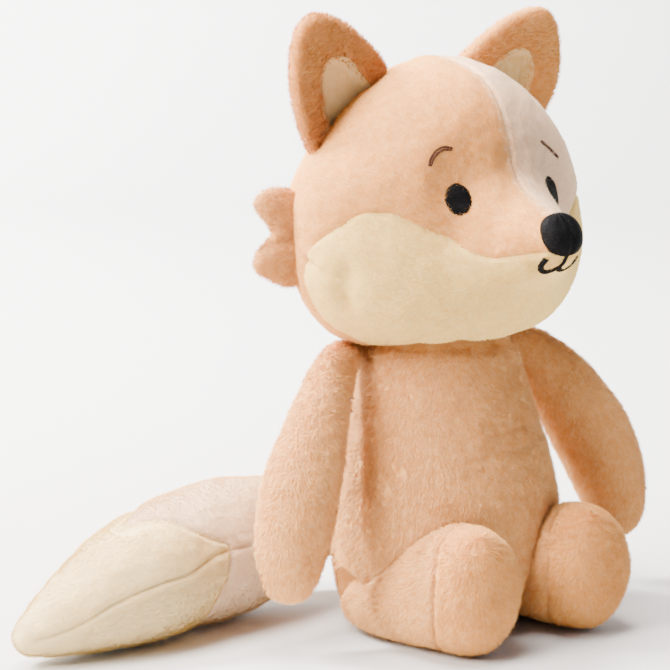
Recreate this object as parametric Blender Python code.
# Seated plush fox: sewn panels over stuffing, with limbs, tail and head that move at their seams.
# Metres, +Z up. The fox faces -Y and sits on the XY plane, with its left side at +X.

import math

import bmesh
import bpy
from mathutils import Matrix, Vector

# Fabric and clearances
WALL = 0.002            # plush cloth with its short pile
GAP = 0.0003            # seams, and whatever touches
STUFFING_GAP = 0.0005   # stuffing inside its cloth
FLATTEN = 0.0006        # how far a limb is pressed flat where it lies on the table
OVERRUN = 0.03          # how far a cutter runs past what it cuts
SHARP_ANGLE = math.radians(40)     # edges sharper than this aren't shaded smooth

# Head
HEAD_WIDTH = 0.143
HEAD_HEIGHT = 0.1325
FACE_DEPTH = 0.0505     # head centre to the flat of the face
NAPE_DEPTH = 0.0565     # head centre to the back of the head
HEAD_Z = 0.1946         # height of the head's centre
JOWL_SHARE = 1.35       # how much squarer the lower half is than a plain ellipse
JOWL_ONSET = 4          # how soon below the middle it is that square
JAW_SHARE = 0.13        # how much further the lower face stands forward
JAW_DROP = 0.030        # where it stands forward most, below the head's centre
JAW_HEIGHT = 0.046
MUZZLE_REACH = 0.0325   # how far the muzzle stands out of the face
MUZZLE_WIDTH = 0.045
MUZZLE_HEIGHT = 0.039
MUZZLE_DROP = 0.0105    # muzzle tip below the head's centre
HEAD_SEAM_Y = 0.0135    # side seam, where the face panels meet the back panel

# Upper edge and back edge of a cream cheek panel, seen from the side: shares of the face's depth
# forward of the head's centre and of half the head's height above it
CHEEK_EDGE_SHARES = ((1.75, -0.26), (1.30, -0.245), (1.02, -0.17), (0.66, 0.02), (0.36, 0.04),
                     (0.08, -0.10), (-0.12, -0.30), (-0.16, -0.50), (-0.10, -0.74), (0.06, -0.98),
                     (0.10, -1.30))

# Neck
NECK_Z = 0.102          # the pivot that the head turns and nods about
NECK_RADIUS = 0.0455    # dome on the body that the head sits on

# Face details
EYE_SIZE = (0.0118, 0.0138)
EYE_APART = 0.0556
EYE_Z = 0.2010
BROW_APART = 0.062
BROW_Z = 0.2190
BROW_LENGTH = 0.0135
BROW_RISE = 0.0040
BROW_WIDTH = 0.0016
NOSE_SIZE = (0.0185, 0.0120, 0.0165)
NOSE_Z = 0.1885
MOUTH_LINE_LENGTH = 0.0070
MOUTH_STROKE = 0.0017
SMILE_WIDTH = 0.0190
SMILE_Z = 0.1725
SMILE_RISE = 0.0050
SMILE_SHARES = ((-1, 1), (-0.7, 0.25), (-0.35, 0), (0, 0.42), (0.35, 0), (0.7, 0.25), (1, 1))
STITCH_THICK = 0.0008   # how far satin stitches stand above the cloth
STITCH_CUT = 0.014      # depth of the cutters that outline them

# Ears
EAR_WIDTH = 0.063
EAR_HEIGHT = 0.045
EAR_ROOT = 0.020        # how far the ear's form runs into the head before it is cut
EAR_THICK = 0.0095
EAR_CUP = 0.0065        # how far the ear's edges come forward
EAR_TAPER_SHARE = 0.12  # how much narrower the tip is
EAR_BASE = (0.0470, 0.0155, 0.2375)
EAR_TIP = (0.0705, 0.0040, 0.2800)
EAR_LINING_THICK = 0.0011
EAR_LINING_SHARES = ((-0.60, 0.10), (-0.62, 0.28), (-0.38, 0.60), (0.0, 0.82), (0.38, 0.60),
                     (0.62, 0.28), (0.60, 0.10))

# Cheek tufts
TUFT_LENGTH = 0.026     # how far the tuft stands out of the side seam
TUFT_HEIGHT = 0.050
TUFT_THICK = 0.0070
TUFT_EDGE = 0.0020      # rounding of the tuft's edge
TUFT_BASE = (0.0640, 0.0130, 0.1810)
TUFT_SWEEP = math.radians(20)   # how far the tuft leans back
TUFT_SHARES = ((-0.35, 0.46), (0.10, 0.46), (0.52, 0.45), (0.84, 0.36), (0.80, 0.22),
               (0.48, 0.06), (0.62, -0.06), (0.92, -0.18), (0.94, -0.33), (0.62, -0.46),
               (0.18, -0.47), (-0.35, -0.46))

# Body
BODY_WIDTH = 0.108
SHOULDER_Z = 0.127      # where the pear form gives way to the neck dome
# Height as a share of the shoulder's; then half width, half depth and forward lean as shares of
# half the body's width
BODY_SHARES = ((0.0, 0.76, 0.66, 0.05), (0.03, 0.86, 0.75, 0.08), (0.095, 0.955, 0.84, 0.11),
               (0.235, 1.0, 0.88, 0.145), (0.455, 0.98, 0.855, 0.165), (0.605, 0.905, 0.79, 0.165),
               (0.795, 0.795, 0.71, 0.11), (0.905, 0.74, 0.69, 0.055), (1.0, 0.7037, 0.7037, 0.0))
BODY_SEAM_Y = -0.009    # side seams, where the belly panel meets the back panel

# Arms, as they hang. Each row is a share of the arm's reach: out, forward and down from the
# shoulder seat, then the half thickness
ARM_REACH = 0.100
ARM_BLUNT_SHARES = (0.6, 0.6)      # of its two ends; under 1 an end is blunter than an ellipse's
ARM_SHARES = ((-0.08, -0.03, 0.03, 0.110), (0.085, 0.02, 0.035, 0.122), (0.24, 0.07, 0.07, 0.146),
              (0.375, 0.13, 0.18, 0.168), (0.47, 0.19, 0.355, 0.190), (0.545, 0.23, 0.545, 0.204),
              (0.592, 0.265, 0.765, 0.210), (0.612, 0.28, 1.0, 0.200))
SHOULDER = (0.0352, 0.0136, 0.1220)
SHOULDER_TURN = math.radians(21)   # how far round to the back the arms are sewn
SHOULDER_TILT = math.radians(13)   # slope of the body's side under the arm
SHOULDER_FLAT = 0.0008  # how deep the body's side is pressed flat by the arm

# Legs. Each row is a share of the leg's length: forward of the heel end, out of the foot's middle
# line, height of the middle, half width, half height
LEG_LENGTH = 0.091
LEG_BLUNT_SHARES = (0.9, 0.36)
LEG_APART = 0.0680
LEG_SHARES = ((0.0, 0.04, 0.152, 0.260, 0.158), (0.18, 0.04, 0.156, 0.265, 0.166),
              (0.38, 0.03, 0.208, 0.265, 0.222), (0.60, 0.01, 0.294, 0.276, 0.310),
              (0.80, 0.0, 0.346, 0.284, 0.364), (1.0, 0.0, 0.346, 0.284, 0.366))
HIP_Y = -0.0020
HIP_Z = 0.0138
HIP_RADIUS = 0.0150     # the rounded end of the leg that turns in the body
HIP_PLAY = 0.0015       # room round that end
HIP_WIDTH = 0.056       # of the hollow that it turns and swings down in
HIP_APART = 0.0720      # between the middles of the two hollows
SOLE_DEPTH = 0.0085     # sole seam behind the front of the foot

# Tail, lying to the fox's right. Each row is a share of the tail's length: out to the side, back
# from the root, height, half thickness
TAIL_LENGTH = 0.190
TAIL_BLUNT_SHARES = (0.6, 0.6)
TAIL_ROOT = (-0.0120, 0.0514, 0.0)
TAIL_HINGE_X = -0.006   # where the tail is sewn to the body and turns
TAIL_SHARES = ((-0.07, 0.0, 0.185, 0.090), (0.07, 0.0, 0.190, 0.110), (0.20, -0.005, 0.188, 0.148),
               (0.33, -0.03, 0.176, 0.168), (0.49, -0.045, 0.168, 0.169), (0.66, -0.075, 0.156, 0.160),
               (0.83, -0.070, 0.116, 0.123), (1.0, -0.050, 0.062, 0.068))
# Edge of the cream tip, seen from the side: shares of the tail's length out and up
TIP_EDGE_SHARES = ((0.37, -0.12), (0.365, 0.05), (0.355, 0.155), (0.37, 0.235), (0.47, 0.265),
                   (0.56, 0.292), (0.64, 0.29), (0.72, 0.255), (0.80, 0.30), (0.92, 0.40))

# Facets
HEAD_FACETS = (26, 16)
BODY_FACETS = 22
LIMB_FACETS = (16, 10)
TAIL_FACETS = (16, 12)
EAR_FACETS = (16, 8)
BALL_FACETS = (24, 16)
DRUM_FACETS = 20
DOME_STEPS = 4


# Scene, collections and materials

for old in list(bpy.data.objects):
    bpy.data.objects.remove(old, do_unlink=True)

parts = bpy.data.collections.new("plush_fox")
cutters = bpy.data.collections.new("cutters")
bpy.context.scene.collection.children.link(parts)
bpy.context.scene.collection.children.link(cutters)


def make_material(name, colour, roughness):
    material = bpy.data.materials.new(name)
    material.use_nodes = True
    shader = material.node_tree.nodes["Principled BSDF"]
    shader.inputs["Base Color"].default_value = (*colour, 1)
    shader.inputs["Roughness"].default_value = roughness
    shader.inputs["Metallic"].default_value = 0
    material.diffuse_color = (*colour, 1)
    return material


APRICOT = make_material("apricot_plush", (0.72, 0.50, 0.33), 0.9)
TAN = make_material("tan_plush", (0.62, 0.42, 0.27), 0.9)
CREAM = make_material("cream_plush", (0.84, 0.74, 0.53), 0.9)
BLACK = make_material("black_thread", (0.012, 0.012, 0.013), 0.55)
BROWN = make_material("brown_thread", (0.16, 0.08, 0.045), 0.6)
FIBRE = make_material("polyester_fibre", (0.86, 0.86, 0.84), 1.0)


# Small helpers

def add_object(name, bm):
    mesh = bpy.data.meshes.new(name)
    bm.normal_update()
    bmesh.ops.recalc_face_normals(bm, faces=bm.faces)
    # a form and its offset copies then share their diagonals, and can't cross
    bmesh.ops.triangulate(bm, faces=bm.faces)
    bm.to_mesh(mesh)
    bm.free()
    return link_mesh(name, mesh)


def link_mesh(name, mesh, collection=cutters):
    item = bpy.data.objects.new(name, mesh)
    collection.objects.link(item)
    if collection is cutters:
        item.hide_render = True
        item.display_type = "WIRE"
    return item


def baked(item):
    """The object's evaluated mesh, as a mesh of its own in world space."""
    bpy.context.view_layer.update()
    seen = item.evaluated_get(bpy.context.evaluated_depsgraph_get())
    mesh = bpy.data.meshes.new_from_object(seen)
    mesh.transform(item.matrix_world)
    return mesh


def boolean(item, operation, cutter):
    modifier = item.modifiers.new(operation.lower(), "BOOLEAN")
    modifier.operation = operation
    modifier.solver = "EXACT"
    modifier.object = cutter


def hollow(item, *insides):
    for inside in insides:
        boolean(item, "DIFFERENCE", inside)


def offset_copy(name, source, distance):
    """A closed form moved out, or in where the distance is negative, along its own normals."""
    item = link_mesh(name, baked(source))
    modifier = item.modifiers.new("offset", "DISPLACE")
    modifier.strength = distance
    modifier.mid_level = 0
    mesh = baked(item)
    bpy.data.objects.remove(item)
    return link_mesh(name, mesh)


def finish(item, material, pivot=None):
    """Turns the modifiers into a plain mesh, gives it its material and hangs it on its pivot."""
    mesh = baked(item)
    name = item.name
    bpy.data.objects.remove(item)
    mesh.materials.clear()
    mesh.materials.append(material)
    mesh.shade_smooth()
    mesh.set_sharp_from_angle(angle=SHARP_ANGLE)
    item = link_mesh(name, mesh, parts)
    if pivot:
        item.parent = pivot
        item.matrix_parent_inverse = pivot.matrix_world.inverted()
    return item


def make_pivot(name, place):
    pivot = bpy.data.objects.new(name, None)
    pivot.location = place
    pivot.empty_display_size = NECK_RADIUS / 3
    parts.objects.link(pivot)
    bpy.context.view_layer.update()
    return pivot


def box(name, low, high):
    bm = bmesh.new()
    bmesh.ops.create_cube(bm, size=1)
    for vert in bm.verts:
        vert.co = [low[i] + (vert.co[i] + 0.5) * (high[i] - low[i]) for i in range(3)]
    return add_object(name, bm)


def prism(name, outline, depth, matrix, smooth=True, edge=0.0):
    """A closed outline in a frame's own XY plane, as deep as given to both sides of it."""
    curve = bpy.data.curves.new(name, "CURVE")
    curve.dimensions = "2D"
    curve.fill_mode = "BOTH"
    curve.extrude = depth
    curve.bevel_depth = edge
    curve.bevel_resolution = 1
    curve.resolution_u = 3 if smooth else 1
    spline = curve.splines.new("BEZIER")
    spline.bezier_points.add(len(outline) - 1)
    for point, (x, y) in zip(spline.bezier_points, outline):
        point.co = (x, y, 0)
        point.handle_left_type = "AUTO" if smooth else "VECTOR"
        point.handle_right_type = "AUTO" if smooth else "VECTOR"
    spline.use_cyclic_u = True
    guide = bpy.data.objects.new(name, curve)
    cutters.objects.link(guide)
    guide.matrix_world = matrix
    mesh = baked(guide)
    bpy.data.objects.remove(guide)
    bm = bmesh.new()
    bm.from_mesh(mesh)
    bmesh.ops.remove_doubles(bm, verts=bm.verts, dist=GAP / 10)
    return add_object(name, bm)


def frame_of(origin, across, up):
    """A frame whose X runs across, whose Y runs up and whose Z is square to both."""
    z = Vector(across).cross(Vector(up)).normalized()
    x = Vector(across).normalized()
    y = z.cross(x)
    return Matrix.Translation(origin) @ Matrix((x, y, z)).transposed().to_4x4()


def grown(outline, distance):
    """An open outline moved sideways, to its left, by a small distance."""
    moved = []
    for i, point in enumerate(outline):
        ahead = Vector(outline[min(i + 1, len(outline) - 1)])
        behind = Vector(outline[max(i - 1, 0)])
        along = (ahead - behind).normalized()
        moved.append(Vector(point) + Vector((-along.y, along.x)) * distance)
    return moved


def smooth_row(rows, place):
    """Rows of numbers at even steps, read at any place from 0 to 1 along a smooth curve."""
    reach = min(max(place, 0.0), 1.0) * (len(rows) - 1)
    i = min(int(reach), len(rows) - 2)
    t = reach - i
    a, b, c, d = (rows[min(max(k, 0), len(rows) - 1)] for k in (i - 1, i, i + 1, i + 2))
    return [0.5 * (2 * q + (r - p) * t + (2 * p - 5 * q + 4 * r - s) * t * t
                   + (3 * q - p - 3 * r + s) * t ** 3) for p, q, r, s in zip(a, b, c, d)]


def unit_sphere(facets):
    bm = bmesh.new()
    bmesh.ops.create_uvsphere(bm, u_segments=facets[0], v_segments=facets[1], radius=1)
    return bm


def stuffed_limb(name, rows, facets, blunt_shares):
    """A closed form along a bent line. A row holds the line's point and its two half sizes."""
    bm = unit_sphere(facets)
    for vert in bm.verts:
        tip = math.acos(max(-1.0, min(1.0, vert.co.z)))
        angle = math.atan2(vert.co.y, vert.co.x)
        along = (1 - math.cos(tip)) / 2
        x, y, z, wide, tall = smooth_row(rows, along)
        step = 1 / (4 * len(rows))
        ahead = Vector(smooth_row(rows, along + step)[:3])
        behind = Vector(smooth_row(rows, along - step)[:3])
        run = (ahead - behind).normalized()
        side = run.cross(Vector((0, 0, 1))).normalized()
        over = side.cross(run)
        swell = math.sin(tip) ** (blunt_shares[0] + (blunt_shares[1] - blunt_shares[0]) * along)
        vert.co = (Vector((x, y, z)) + side * (wide * swell * math.cos(angle))
                   + over * (tall * swell * math.sin(angle)))
    bmesh.ops.bisect_plane(bm, geom=bm.verts[:] + bm.edges[:] + bm.faces[:], dist=GAP / 10,
                           plane_co=(0, 0, 0), plane_no=(0, 0, 1), clear_inner=True)
    bmesh.ops.remove_doubles(bm, verts=bm.verts, dist=GAP / 10)
    bmesh.ops.holes_fill(bm, edges=[edge for edge in bm.edges if edge.is_boundary])
    return add_object(name, bm)


def ball(name, radius, centre):
    """A faceted ball whose flats, not only its corners, keep clear of the radius."""
    bm = unit_sphere(BALL_FACETS)
    slack = 1 / (math.cos(math.pi / BALL_FACETS[0]) * math.cos(math.pi / BALL_FACETS[1] / 2))
    for vert in bm.verts:
        vert.co = vert.co * radius * slack + Vector(centre)
    return add_object(name, bm)


def drum(name, radius, length, centre):
    """A faceted cylinder across the fox, whose flats keep clear of the radius."""
    bm = bmesh.new()
    slack = 1 / math.cos(math.pi / DRUM_FACETS)
    bmesh.ops.create_cone(bm, cap_ends=True, segments=DRUM_FACETS, radius1=radius * slack,
                          radius2=radius * slack, depth=length)
    matrix = Matrix.Translation(centre) @ Matrix.Rotation(math.pi / 2, 4, "Y")
    bmesh.ops.transform(bm, matrix=matrix, verts=bm.verts)
    return add_object(name, bm)


# Forms

def head_point(direction):
    depth = FACE_DEPTH if direction.y < 0 else NAPE_DEPTH
    level = math.hypot(direction.x / (HEAD_WIDTH / 2), direction.y / depth)
    upright = abs(direction.z) / (HEAD_HEIGHT / 2)
    power = 2 + JOWL_SHARE * min(max(-JOWL_ONSET * direction.z, 0.0), 1.0)
    point = direction * (level ** power + upright ** power) ** (-1 / power)
    if direction.y < 0:
        point.y *= 1 + JAW_SHARE * math.exp(-(2 * (point.z + JAW_DROP) / JAW_HEIGHT) ** 2)
        spread = (2 * point.x / MUZZLE_WIDTH) ** 2
        spread += (2 * (point.z + MUZZLE_DROP) / MUZZLE_HEIGHT) ** 2
        point.y -= MUZZLE_REACH * math.exp(-spread)
    return point + Vector((0, 0, HEAD_Z))


def make_head_form():
    bm = unit_sphere(HEAD_FACETS)
    for vert in bm.verts:
        # the poles lie at the muzzle and the nape, where the form turns most
        vert.co = head_point(Vector((vert.co.x, -vert.co.z, vert.co.y)))
    return add_object("head_form", bm)


def body_row(height):
    """Half width, half depth and lean of the body at a height below the shoulders."""
    share = min(height / SHOULDER_Z, 1.0)
    rows = BODY_SHARES
    i = max(k for k in range(len(rows) - 1) if rows[k][0] <= share)
    t = (share - rows[i][0]) / (rows[i + 1][0] - rows[i][0])
    place = (i + t) / (len(rows) - 1)
    return [value * BODY_WIDTH / 2 for value in smooth_row(rows, place)[1:]]


def shoulder_plane(side):
    """The seat of an arm: a frame whose X points out of the body's side."""
    place = Matrix.Translation(SHOULDER) @ Matrix.Rotation(SHOULDER_TURN, 4, "Z")
    place = place @ Matrix.Rotation(-SHOULDER_TILT, 4, "Y")
    return place if side > 0 else Matrix.Scale(-1, 4, (1, 0, 0)) @ place


def make_body_form():
    heights = [SHOULDER_Z * share for share, *sizes in BODY_SHARES]
    heights = sorted(heights + [(a + b) / 2 for a, b in zip(heights[2:], heights[3:])])
    dome_start = math.acos((SHOULDER_Z - NECK_Z) / NECK_RADIUS)
    bm = bmesh.new()
    profile = [bm.verts.new((0, 0, 0)), bm.verts.new((body_row(0)[0] / 2, 0, 0))]
    profile += [bm.verts.new((body_row(height)[0], 0, height)) for height in heights]
    for step in range(1, DOME_STEPS + 1):
        lean = dome_start * (1 - step / DOME_STEPS)
        profile.append(bm.verts.new((NECK_RADIUS * math.sin(lean), 0,
                                     NECK_Z + NECK_RADIUS * math.cos(lean))))
    edges = [bm.edges.new(pair) for pair in zip(profile, profile[1:])]
    bmesh.ops.spin(bm, geom=profile + edges, axis=(0, 0, 1), cent=(0, 0, 0),
                   steps=BODY_FACETS, angle=2 * math.pi)
    bmesh.ops.remove_doubles(bm, verts=bm.verts, dist=GAP / 10)
    for vert in bm.verts:
        if vert.co.z < SHOULDER_Z + GAP:
            wide, deep, lean = body_row(max(vert.co.z, 0.0))
            vert.co.y = vert.co.y * deep / wide - lean
            for side in (1, -1):
                flat = shoulder_plane(side)
                local = flat.inverted() @ vert.co
                local.x = min(local.x, -SHOULDER_FLAT)
                vert.co = flat @ local
    return add_object("body_form", bm)


def arm_rows(side):
    return [(side * (SHOULDER[0] + out * ARM_REACH), SHOULDER[1] - front * ARM_REACH,
             SHOULDER[2] - down * ARM_REACH, half * ARM_REACH, half * ARM_REACH)
            for out, front, down, half in ARM_SHARES]


def leg_rows(side):
    heel = HIP_Y + HIP_RADIUS
    return [(side * (LEG_APART / 2 + out * LEG_LENGTH), heel - front * LEG_LENGTH,
             height * LEG_LENGTH - FLATTEN, wide * LEG_LENGTH, tall * LEG_LENGTH)
            for front, out, height, wide, tall in LEG_SHARES]


def tail_rows():
    return [(TAIL_ROOT[0] - out * TAIL_LENGTH, TAIL_ROOT[1] + back * TAIL_LENGTH,
             TAIL_ROOT[2] + height * TAIL_LENGTH - FLATTEN, half * TAIL_LENGTH, half * TAIL_LENGTH)
            for out, back, height, half in TAIL_SHARES]


def ear_frame(side):
    base = Vector((side * EAR_BASE[0], EAR_BASE[1], EAR_BASE[2]))
    tip = Vector((side * EAR_TIP[0], EAR_TIP[1], EAR_TIP[2]))
    up = (tip - base).normalized()
    across = Vector((0, 1, 0)).cross(up).normalized()
    return frame_of(base, across, up)


# Seen from the fox's side: X runs forward and Y up
side_view = Matrix(((0, 0, 1, 0), (-1, 0, 0, 0), (0, 1, 0, 0), (0, 0, 0, 1)))
# From the ear's frame to the front of the ear, where the lining lies
ear_front = Matrix.Translation((0, 0, EAR_WIDTH / 2))


def make_ear_form(name, side):
    frame = ear_frame(side)
    bm = unit_sphere(EAR_FACETS)
    for vert in bm.verts:
        x, y, z = vert.co
        rise = EAR_HEIGHT * z if z > 0 else EAR_ROOT * z
        across = EAR_WIDTH / 2 * x * (1 - EAR_TAPER_SHARE * max(z, 0.0))
        forward = EAR_THICK / 2 * y + EAR_CUP * x * x
        vert.co = frame @ Vector((across, rise, forward))
    return add_object(name, bm)


# Build: head

neck = make_pivot("neck_pivot", (0, 0, NECK_Z))
head_form = make_head_form()
head_clear = offset_copy("head_clear", head_form, GAP)

neck_ball = ball("neck_ball", NECK_RADIUS + GAP, neck.location)

head_inner = offset_copy("head_inner", head_form, -WALL)

cheek_edge = [(front * FACE_DEPTH, HEAD_Z + up * HEAD_HEIGHT / 2)
              for front, up in CHEEK_EDGE_SHARES]


def cheek_cutter(name, distance):
    edge = grown(cheek_edge, distance)
    low = Vector((edge[0].x, edge[-1].y))
    return prism(name, edge + [low], HEAD_WIDTH, side_view, smooth=False)


cheek_inside = cheek_cutter("cheek_inside", GAP / 2)
cheek_outside = cheek_cutter("cheek_outside", -GAP / 2)

for side, word in ((1, "left"), (-1, "right")):
    near, far = sorted((side * GAP / 2, side * HEAD_WIDTH))
    front = box("front_" + word, (near, -HEAD_WIDTH, 0), (far, HEAD_SEAM_Y - GAP / 2, 2 * HEAD_Z))
    for panel, operation, cutter, material in (
            ("cheek_panel_", "INTERSECT", cheek_inside, CREAM),
            ("face_panel_", "DIFFERENCE", cheek_outside, APRICOT)):
        item = link_mesh(panel + word, head_form.data.copy())
        boolean(item, operation, cutter)
        boolean(item, "INTERSECT", front)
        hollow(item, head_inner, neck_ball)
        finish(item, material, neck)

rear = box("rear", (-HEAD_WIDTH, HEAD_SEAM_Y + GAP / 2, 0), (HEAD_WIDTH, HEAD_WIDTH, 2 * HEAD_Z))
item = link_mesh("head_back_panel", head_form.data.copy())
boolean(item, "INTERSECT", rear)
hollow(item, head_inner, neck_ball)
finish(item, APRICOT, neck)

item = offset_copy("head_stuffing", head_form, -WALL - STUFFING_GAP)
boolean(item, "DIFFERENCE", neck_ball)
finish(item, FIBRE, neck)


# Build: satin stitches on the face, each a thin patch that follows the cloth

stitch_low = offset_copy("stitch_low", head_form, GAP)
stitch_high = offset_copy("stitch_high", head_form, GAP + STITCH_THICK)


def face_frame(x, z):
    """A frame on the face at a place across and up, with its Z out of the face."""
    def surface(x, z):
        start = Vector((x, -OVERRUN - MUZZLE_REACH - FACE_DEPTH, z))
        found, place, normal, face = head_form.ray_cast(start, Vector((0, 1, 0)))
        return place, normal
    place, normal = surface(x, z)
    across = Vector((0, 0, 1)).cross(normal)
    return frame_of(place, across, normal.cross(across))


def band(centre, half):
    """The outline of a stroke, from its middle line and half its width."""
    return grown(centre, half) + list(reversed(grown(centre, -half)))


def stitched(name, outline, frame, material, smooth=True):
    cutter = prism(name + "_outline", outline, STITCH_CUT, frame, smooth)
    item = link_mesh(name, stitch_high.data.copy())
    boolean(item, "INTERSECT", cutter)
    boolean(item, "DIFFERENCE", stitch_low)
    return finish(item, material, neck)


def oval(width, height, count):
    return [(width / 2 * math.cos(2 * math.pi * i / count), height / 2 * math.sin(2 * math.pi * i / count))
            for i in range(count)]


def arch(length, rise, count=5):
    steps = [i / (count - 1) * 2 - 1 for i in range(count)]
    return [Vector((length / 2 * step, rise * (1 - step * step))) for step in steps]


for side, word in ((1, "left"), (-1, "right")):
    stitched("eye_" + word, oval(*EYE_SIZE, 8), face_frame(side * EYE_APART / 2, EYE_Z), BLACK)
    stitched("brow_" + word, band(arch(BROW_LENGTH, BROW_RISE), BROW_WIDTH / 2),
             face_frame(side * BROW_APART / 2, BROW_Z), BROWN, smooth=False)

bm = unit_sphere(LIMB_FACETS)
nose_y = face_frame(0, NOSE_Z).translation.y
for vert in bm.verts:
    vert.co = (vert.co.x * NOSE_SIZE[0] / 2, nose_y + vert.co.y * NOSE_SIZE[1] / 2,
               NOSE_Z + vert.co.z * NOSE_SIZE[2] / 2)
item = add_object("nose", bm)
boolean(item, "DIFFERENCE", head_clear)
finish(item, BLACK, neck)

nose_bottom = NOSE_Z - NOSE_SIZE[2] / 2
mouth = face_frame(0, SMILE_Z)
smile = [Vector((SMILE_WIDTH / 2 * across, SMILE_RISE * (up - 1))) for across, up in SMILE_SHARES]
stitched("smile", band(smile, MOUTH_STROKE / 2), mouth, BLACK, smooth=False)
line = [Vector((0, MOUTH_LINE_LENGTH)), Vector((0, 0))]
stitched("mouth_line", band(line, MOUTH_STROKE / 2), mouth, BLACK, smooth=False)


# Build: ears and cheek tufts

for side, word in ((1, "left"), (-1, "right")):
    form = make_ear_form("ear_form_" + word, side)
    item = link_mesh("ear_" + word, form.data.copy())
    boolean(item, "DIFFERENCE", head_clear)
    finish(item, APRICOT, neck)

    low = offset_copy("ear_low_" + word, form, GAP)
    outline = [(across * EAR_WIDTH / 2, rise * EAR_HEIGHT) for across, rise in EAR_LINING_SHARES]
    lining = prism("ear_outline_" + word, outline, EAR_WIDTH / 2, ear_frame(side) @ ear_front)
    item = offset_copy("ear_lining_" + word, form, GAP + EAR_LINING_THICK)
    boolean(item, "INTERSECT", lining)
    boolean(item, "DIFFERENCE", low)
    boolean(item, "DIFFERENCE", head_clear)
    finish(item, CREAM, neck)

    out = Vector((side * math.cos(TUFT_SWEEP), math.sin(TUFT_SWEEP), 0))
    base = (side * TUFT_BASE[0], TUFT_BASE[1], TUFT_BASE[2])
    outline = [(o * TUFT_LENGTH, up * TUFT_HEIGHT) for o, up in TUFT_SHARES]
    tuft = prism("cheek_tuft_" + word, outline, TUFT_THICK / 2 - TUFT_EDGE,
                 frame_of(base, out, (0, 0, 1)), edge=TUFT_EDGE)
    boolean(tuft, "DIFFERENCE", head_clear)
    finish(tuft, TAN, neck)


# Build: body

body_form = make_body_form()
body_inner = offset_copy("body_inner", body_form, -WALL)
body_core = offset_copy("body_core", body_form, -WALL - STUFFING_GAP)
hip_cutters = []
leg_forms = {}
for side, word in ((1, "left"), (-1, "right")):
    leg_forms[word] = stuffed_limb("leg_form_" + word, leg_rows(side), LIMB_FACETS, LEG_BLUNT_SHARES)
    hip_cutters.append(offset_copy("leg_clear_" + word, leg_forms[word], GAP))
    hip_cutters.append(drum("hip_drum_" + word, HIP_RADIUS + HIP_PLAY, HIP_WIDTH,
                            (side * HIP_APART / 2, HIP_Y, HIP_Z)))
    # below the leg's middle line the hollow is open, so that the leg can swing down
    middle = [(-HIP_Y, HIP_Z)] + [(-y, z) for x, y, z, *sizes in leg_rows(side)[2:]]
    opening = middle + [(middle[-1][0], -OVERRUN), (-HIP_Y, -OVERRUN)]
    hip_cutters.append(prism("hip_opening_" + word, opening, HIP_WIDTH / 2,
                             Matrix.Translation((side * HIP_APART / 2, 0, 0)) @ side_view,
                             smooth=False))

front = box("body_front", (-BODY_WIDTH, -BODY_WIDTH, -OVERRUN),
            (BODY_WIDTH, BODY_SEAM_Y - GAP / 2, HEAD_Z))
rear = box("body_rear", (-BODY_WIDTH, BODY_SEAM_Y + GAP / 2, -OVERRUN),
           (BODY_WIDTH, BODY_WIDTH, HEAD_Z))
for name, half in (("belly_panel", front), ("back_panel", rear)):
    item = link_mesh(name, body_form.data.copy())
    hollow(item, *hip_cutters, body_inner)
    boolean(item, "INTERSECT", half)
    finish(item, TAN)
item = link_mesh("body_stuffing", body_core.data.copy())
hollow(item, *hip_cutters)
finish(item, FIBRE)


# Build: arms

for side, word in ((1, "left"), (-1, "right")):
    seat = Vector((side * SHOULDER[0], SHOULDER[1], SHOULDER[2]))
    shoulder = make_pivot("shoulder_pivot_" + word, seat)
    form = stuffed_limb("arm_form_" + word, arm_rows(side), LIMB_FACETS, ARM_BLUNT_SHARES)
    inner = offset_copy("arm_inner_" + word, form, -WALL)
    core = offset_copy("arm_core_" + word, form, -WALL - STUFFING_GAP)
    seat_box = box("arm_seat_" + word, (-OVERRUN, -OVERRUN, -OVERRUN),
                   (-SHOULDER_FLAT + GAP, OVERRUN, OVERRUN))
    seat_box.matrix_world = shoulder_plane(side)
    item = link_mesh("arm_skin_" + word, form.data.copy())
    hollow(item, inner, seat_box)
    finish(item, TAN, shoulder)
    item = link_mesh("arm_stuffing_" + word, core.data.copy())
    hollow(item, seat_box)
    finish(item, FIBRE, shoulder)


# Build: legs

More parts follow.
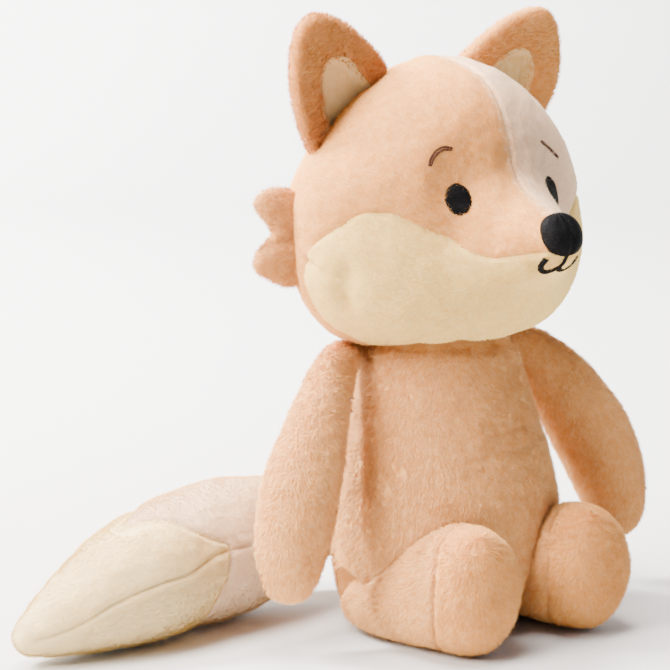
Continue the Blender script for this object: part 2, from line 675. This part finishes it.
for side, word in ((1, "left"), (-1, "right")):
    hip = make_pivot("hip_pivot_" + word, (side * LEG_APART / 2, HIP_Y, HIP_Z))
    form = leg_forms[word]
    inner = offset_copy("leg_inner_" + word, form, -WALL)
    sole_y = HIP_Y + HIP_RADIUS - LEG_LENGTH + SOLE_DEPTH
    toe = box("toe_" + word, (-BODY_WIDTH, -BODY_WIDTH, -OVERRUN),
              (BODY_WIDTH, sole_y - GAP / 2, BODY_WIDTH))
    heel = box("heel_" + word, (-BODY_WIDTH, sole_y + GAP / 2, -OVERRUN),
               (BODY_WIDTH, BODY_WIDTH, BODY_WIDTH))
    for name, half, material in (("leg_skin_", heel, TAN), ("sole_panel_", toe, APRICOT)):
        item = link_mesh(name + word, form.data.copy())
        boolean(item, "INTERSECT", half)
        hollow(item, inner)
        finish(item, material, hip)
    finish(offset_copy("leg_stuffing_" + word, form, -WALL - STUFFING_GAP), FIBRE, hip)


# Build: tail

root = make_pivot("tail_pivot", (TAIL_HINGE_X, TAIL_ROOT[1], TAIL_SHARES[0][2] * TAIL_LENGTH))
form = stuffed_limb("tail_form", tail_rows(), TAIL_FACETS, TAIL_BLUNT_SHARES)
inner = offset_copy("tail_inner", form, -WALL)
tip_edge = [(out * TAIL_LENGTH, up * TAIL_LENGTH) for out, up in TIP_EDGE_SHARES]
from_front = Matrix(((-1, 0, 0, TAIL_ROOT[0]), (0, 0, 1, TAIL_ROOT[1]), (0, 1, 0, 0), (0, 0, 0, 1)))
for name, operation, distance, material in (("tail_base_skin", "DIFFERENCE", 1, TAN),
                                            ("tail_tip_skin", "INTERSECT", -1, CREAM)):
    edge = grown(tip_edge, distance * GAP / 2)
    past = edge[-1].x + TAIL_LENGTH
    corner = [Vector((past, edge[-1].y)), Vector((past, edge[0].y))]
    cutter = prism(name + "_outline", edge + corner, TAIL_LENGTH, from_front, smooth=False)
    item = link_mesh(name, form.data.copy())
    boolean(item, operation, cutter)
    hollow(item, inner)
    finish(item, material, root)
finish(offset_copy("tail_stuffing", form, -WALL - STUFFING_GAP), FIBRE, root)
